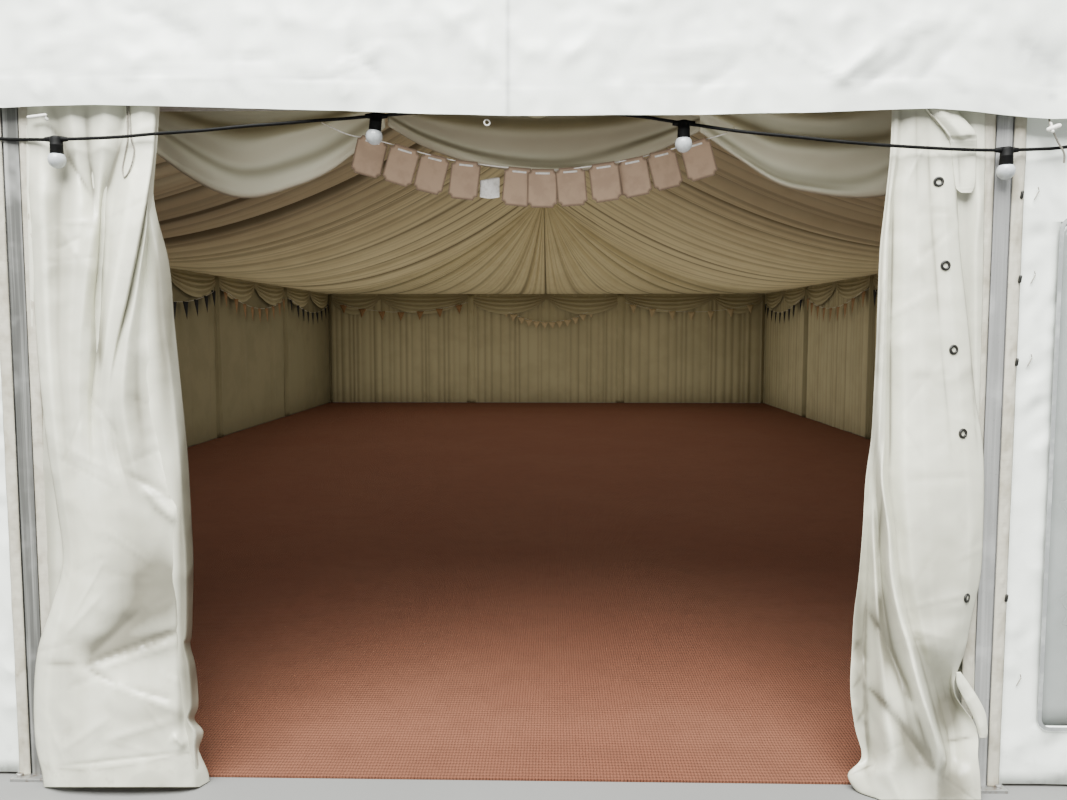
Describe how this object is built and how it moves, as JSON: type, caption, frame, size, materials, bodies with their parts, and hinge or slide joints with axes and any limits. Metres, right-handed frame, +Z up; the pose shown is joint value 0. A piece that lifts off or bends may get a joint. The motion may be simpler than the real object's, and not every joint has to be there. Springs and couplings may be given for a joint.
{
  "type": "marquee tent",
  "caption": "Clear-span marquee with aluminium portal frames, white PVC covers, cloth lining, fibre matting floor and an open doorway in the front gable.",
  "frame": {"origin": "on the ground at the middle of the tent", "axes": "+X to the right seen from the front, +Y into the tent from the front gable to the back gable, +Z up"},
  "size_m": [9.06, 15.2336, 3.8057],
  "materials": {
    "frame_aluminium": "mill finish, weathered",
    "cover_pvc": "satin coated fabric, creased",
    "window_pvc": "clear flexible film",
    "lining_cloth": "pleated cloth",
    "matting_fibre": "ribbed woven fibre",
    "festoon_rubber": "matt"
  },
  "bodies": {
    "root": {"back_wall_left": "cover_pvc", "back_wall_middle": "cover_pvc", "back_wall_right": "cover_pvc", "door_sheet_left": "cover_pvc", "door_sheet_right": "cover_pvc", "eave_beam_left": "frame_aluminium", "eave_beam_right": "frame_aluminium", "festoon_lights": "festoon_rubber", "floor_matting": "matting_fibre", "front_wall_left": "cover_pvc", "front_wall_right": "cover_pvc", "front_window_left": "window_pvc", "front_window_right": "window_pvc", "gable_beam_back": "frame_aluminium", "gable_beam_front": "frame_aluminium", "gable_post_back_left": "frame_aluminium", "gable_post_back_right": "frame_aluminium", "gable_post_front_left": "frame_aluminium", "gable_post_front_right": "frame_aluminium", "gable_sheet_back": "cover_pvc", "gable_sheet_front": "cover_pvc", "leg_left_1": "frame_aluminium", "leg_left_2": "frame_aluminium", "leg_left_3": "frame_aluminium", "leg_left_4": "frame_aluminium", "leg_left_5": "frame_aluminium", "leg_left_6": "frame_aluminium", "leg_right_1": "frame_aluminium", "leg_right_2": "frame_aluminium", "leg_right_3": "frame_aluminium", "leg_right_4": "frame_aluminium", "leg_right_5": "frame_aluminium", "leg_right_6": "frame_aluminium", "rafters_1": "frame_aluminium", "rafters_2": "frame_aluminium", "rafters_3": "frame_aluminium", "rafters_4": "frame_aluminium", "rafters_5": "frame_aluminium", "rafters_6": "frame_aluminium", "ridge_beam": "frame_aluminium", "roof_cover_1": "cover_pvc", "roof_cover_2": "cover_pvc", "roof_cover_3": "cover_pvc", "roof_cover_4": "cover_pvc", "roof_cover_5": "cover_pvc", "roof_lining_left": "lining_cloth", "roof_lining_right": "lining_cloth", "side_wall_left_1": "cover_pvc", "side_wall_left_2": "cover_pvc", "side_wall_left_3": "cover_pvc", "side_wall_left_4": "cover_pvc", "side_wall_left_5": "cover_pvc", "side_wall_right_1": "cover_pvc", "side_wall_right_2": "cover_pvc", "side_wall_right_3": "cover_pvc", "side_wall_right_4": "cover_pvc", "side_wall_right_5": "cover_pvc", "wall_lining": "lining_cloth"}
  },
  "joints": []
}
